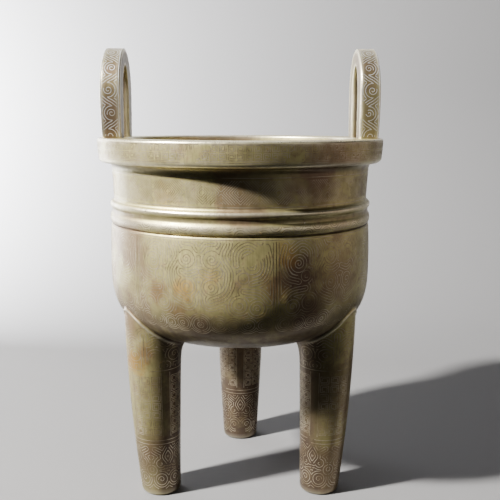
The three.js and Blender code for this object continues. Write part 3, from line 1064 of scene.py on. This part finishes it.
def silver(name, pale, tarnished):
    """Silver wire: pale metal under tarnish that comes and goes along the wire, with small dark grains."""
    material, tree, shader = new_material(name)
    place = millimetres(tree)
    clouds = noise(tree, place, 9, 4, 0.6)
    grain = noise(tree, place, 0.8, 3, 0.6)
    colour = blend(tree, graded(tree, clouds, 0.38, 0.66), pale, tarnished)
    colour = blend(tree, graded(tree, grain, 0.5, 0.75, 0, 0.5), colour, (0.16, 0.11, 0.07, 1))
    feed(tree, shader.inputs["Base Color"], colour)
    shader.inputs["Metallic"].default_value = 0.85
    feed(tree, shader.inputs["Roughness"], graded(tree, grain, 0.3, 0.7, 0.32, 0.5))
    return material


# --- Stage ----------------------------------------------------------------------------------------------------------

VESSEL_MIDDLE = Vector((0, 0, 100))


def plain_material(name, colour, roughness):
    """A matt paint for the stage."""
    material, _, shader = new_material(name)
    shader.inputs["Base Color"].default_value = (*colour, 1)
    shader.inputs["Roughness"].default_value = roughness
    return material


def sweep_floor():
    """A pale paper sheet: it hangs over the table's front edge, lies flat, and curves up behind into a wall."""
    front, hang, back, bend_radius, height, half_width = -48.0, 10.0, 230.0, 200.0, 1500.0, 1500.0
    edge = arc((front, -hang), hang, 180, 90, 10)
    curve = arc((back, bend_radius), bend_radius, -90, 0, 24)
    line = np.concatenate([[[front - hang, -700]], edge, curve, [[back + bend_radius, height]]])
    across = np.repeat([[-half_width], [half_width]], len(line), 1)
    points = np.stack([across, np.tile(line[:, 0], (2, 1)), np.tile(line[:, 1], (2, 1))], -1).reshape(-1, 3)
    start = np.arange(len(line) - 1)
    quads = np.stack([start, start + len(line), start + len(line) + 1, start + 1], 1)
    mesh = bpy.data.meshes.new("sweep")
    mesh.from_pydata((points * MM).tolist(), [], quads.tolist())
    mesh.shade_smooth()
    floor = bpy.data.objects.new("sweep", mesh)
    bpy.context.scene.collection.objects.link(floor)
    mesh.materials.append(plain_material("pale_paper", (0.13, 0.13, 0.132), 0.9))


def seen_from(azimuth, elevation, distance):
    """A place at a distance from the middle of the vessel, in a direction given in degrees."""
    turn, rise = math.radians(azimuth), math.radians(elevation)
    away = Vector((math.cos(turn) * math.cos(rise), math.sin(turn) * math.cos(rise), math.sin(rise)))
    return VESSEL_MIDDLE + away * distance


def add_softbox(name, place, target, size, power, colour=(1, 1, 1)):
    """A soft light of a width and a height at a place, turned to look at a target."""
    lamp = bpy.data.lights.new(name, "AREA")
    lamp.shape = "RECTANGLE"
    lamp.size, lamp.size_y = size[0] * MM, size[1] * MM
    lamp.energy = power
    lamp.color = colour
    light = bpy.data.objects.new(name, lamp)
    light.location = Vector(place) * MM
    light.rotation_euler = (Vector(place) - Vector(target)).to_track_quat("Z", "Y").to_euler()
    bpy.context.scene.collection.objects.link(light)


def lighting():
    """A dim room, a strong main light from the left, one for the paper behind, and three weak fills."""
    world = bpy.data.worlds.new("room")
    world.use_nodes = True
    background = world.node_tree.nodes["Background"]
    background.inputs["Color"].default_value = (0.75, 0.77, 0.8, 1)
    background.inputs["Strength"].default_value = 0.045
    bpy.context.scene.world = world
    add_softbox("main_light", seen_from(-155, 37.5, 1100), VESSEL_MIDDLE, (80, 80), 98, (1.0, 0.97, 0.93))
    add_softbox("paper_light", (-450, 250, 170), (-430, 420, 150), (200, 200), 60, (0.97, 0.98, 1.0))
    add_softbox("top_light", seen_from(90, 75, 1000), VESSEL_MIDDLE, (700, 700), 1.5, (0.93, 0.96, 1.0))
    add_softbox("front_fill", seen_from(-42, 12, 1000), VESSEL_MIDDLE, (450, 450), 0.75, (0.97, 0.93, 0.95))
    add_softbox("side_card", seen_from(-4, 6, 400), VESSEL_MIDDLE, (380, 170), 0.12, (1.0, 0.80, 0.70))


def camera():
    """A short portrait lens a little above the rim, looking slightly down."""
    lens = bpy.data.cameras.new("camera")
    lens.sensor_width = 36
    lens.lens = 55.6
    eye = bpy.data.objects.new("camera", lens)
    pitch, yaw, roll = math.radians(9.49), math.radians(0.72), math.radians(0.165)
    forward = Vector((math.sin(yaw) * math.cos(pitch), math.cos(yaw) * math.cos(pitch), -math.sin(pitch)))
    right = Vector((math.cos(yaw), -math.sin(yaw), 0))
    up = right.cross(forward)
    turned_right = right * math.cos(roll) + up * math.sin(roll)
    turned_up = -right * math.sin(roll) + up * math.cos(roll)
    axes = Matrix((turned_right, turned_up, -forward)).transposed()
    eye.rotation_euler = axes.to_euler()
    eye.location = Vector((0, -345.9, 162.6)) * MM
    bpy.context.scene.collection.objects.link(eye)
    bpy.context.scene.camera = eye


camera()
lighting()
sweep_floor()
vessel = casting()
vessel.data.materials.append(bronze())
tarnished_wire = silver("tarnished_silver", (0.46, 0.40, 0.29, 1), (0.20, 0.155, 0.09, 1))
handled_wire = silver("handled_silver", (0.70, 0.71, 0.70, 1), (0.42, 0.40, 0.35, 1))
for piece in inlay():
    piece.data.materials.append(handled_wire if piece.name == "handle_wire" else tarnished_wire)
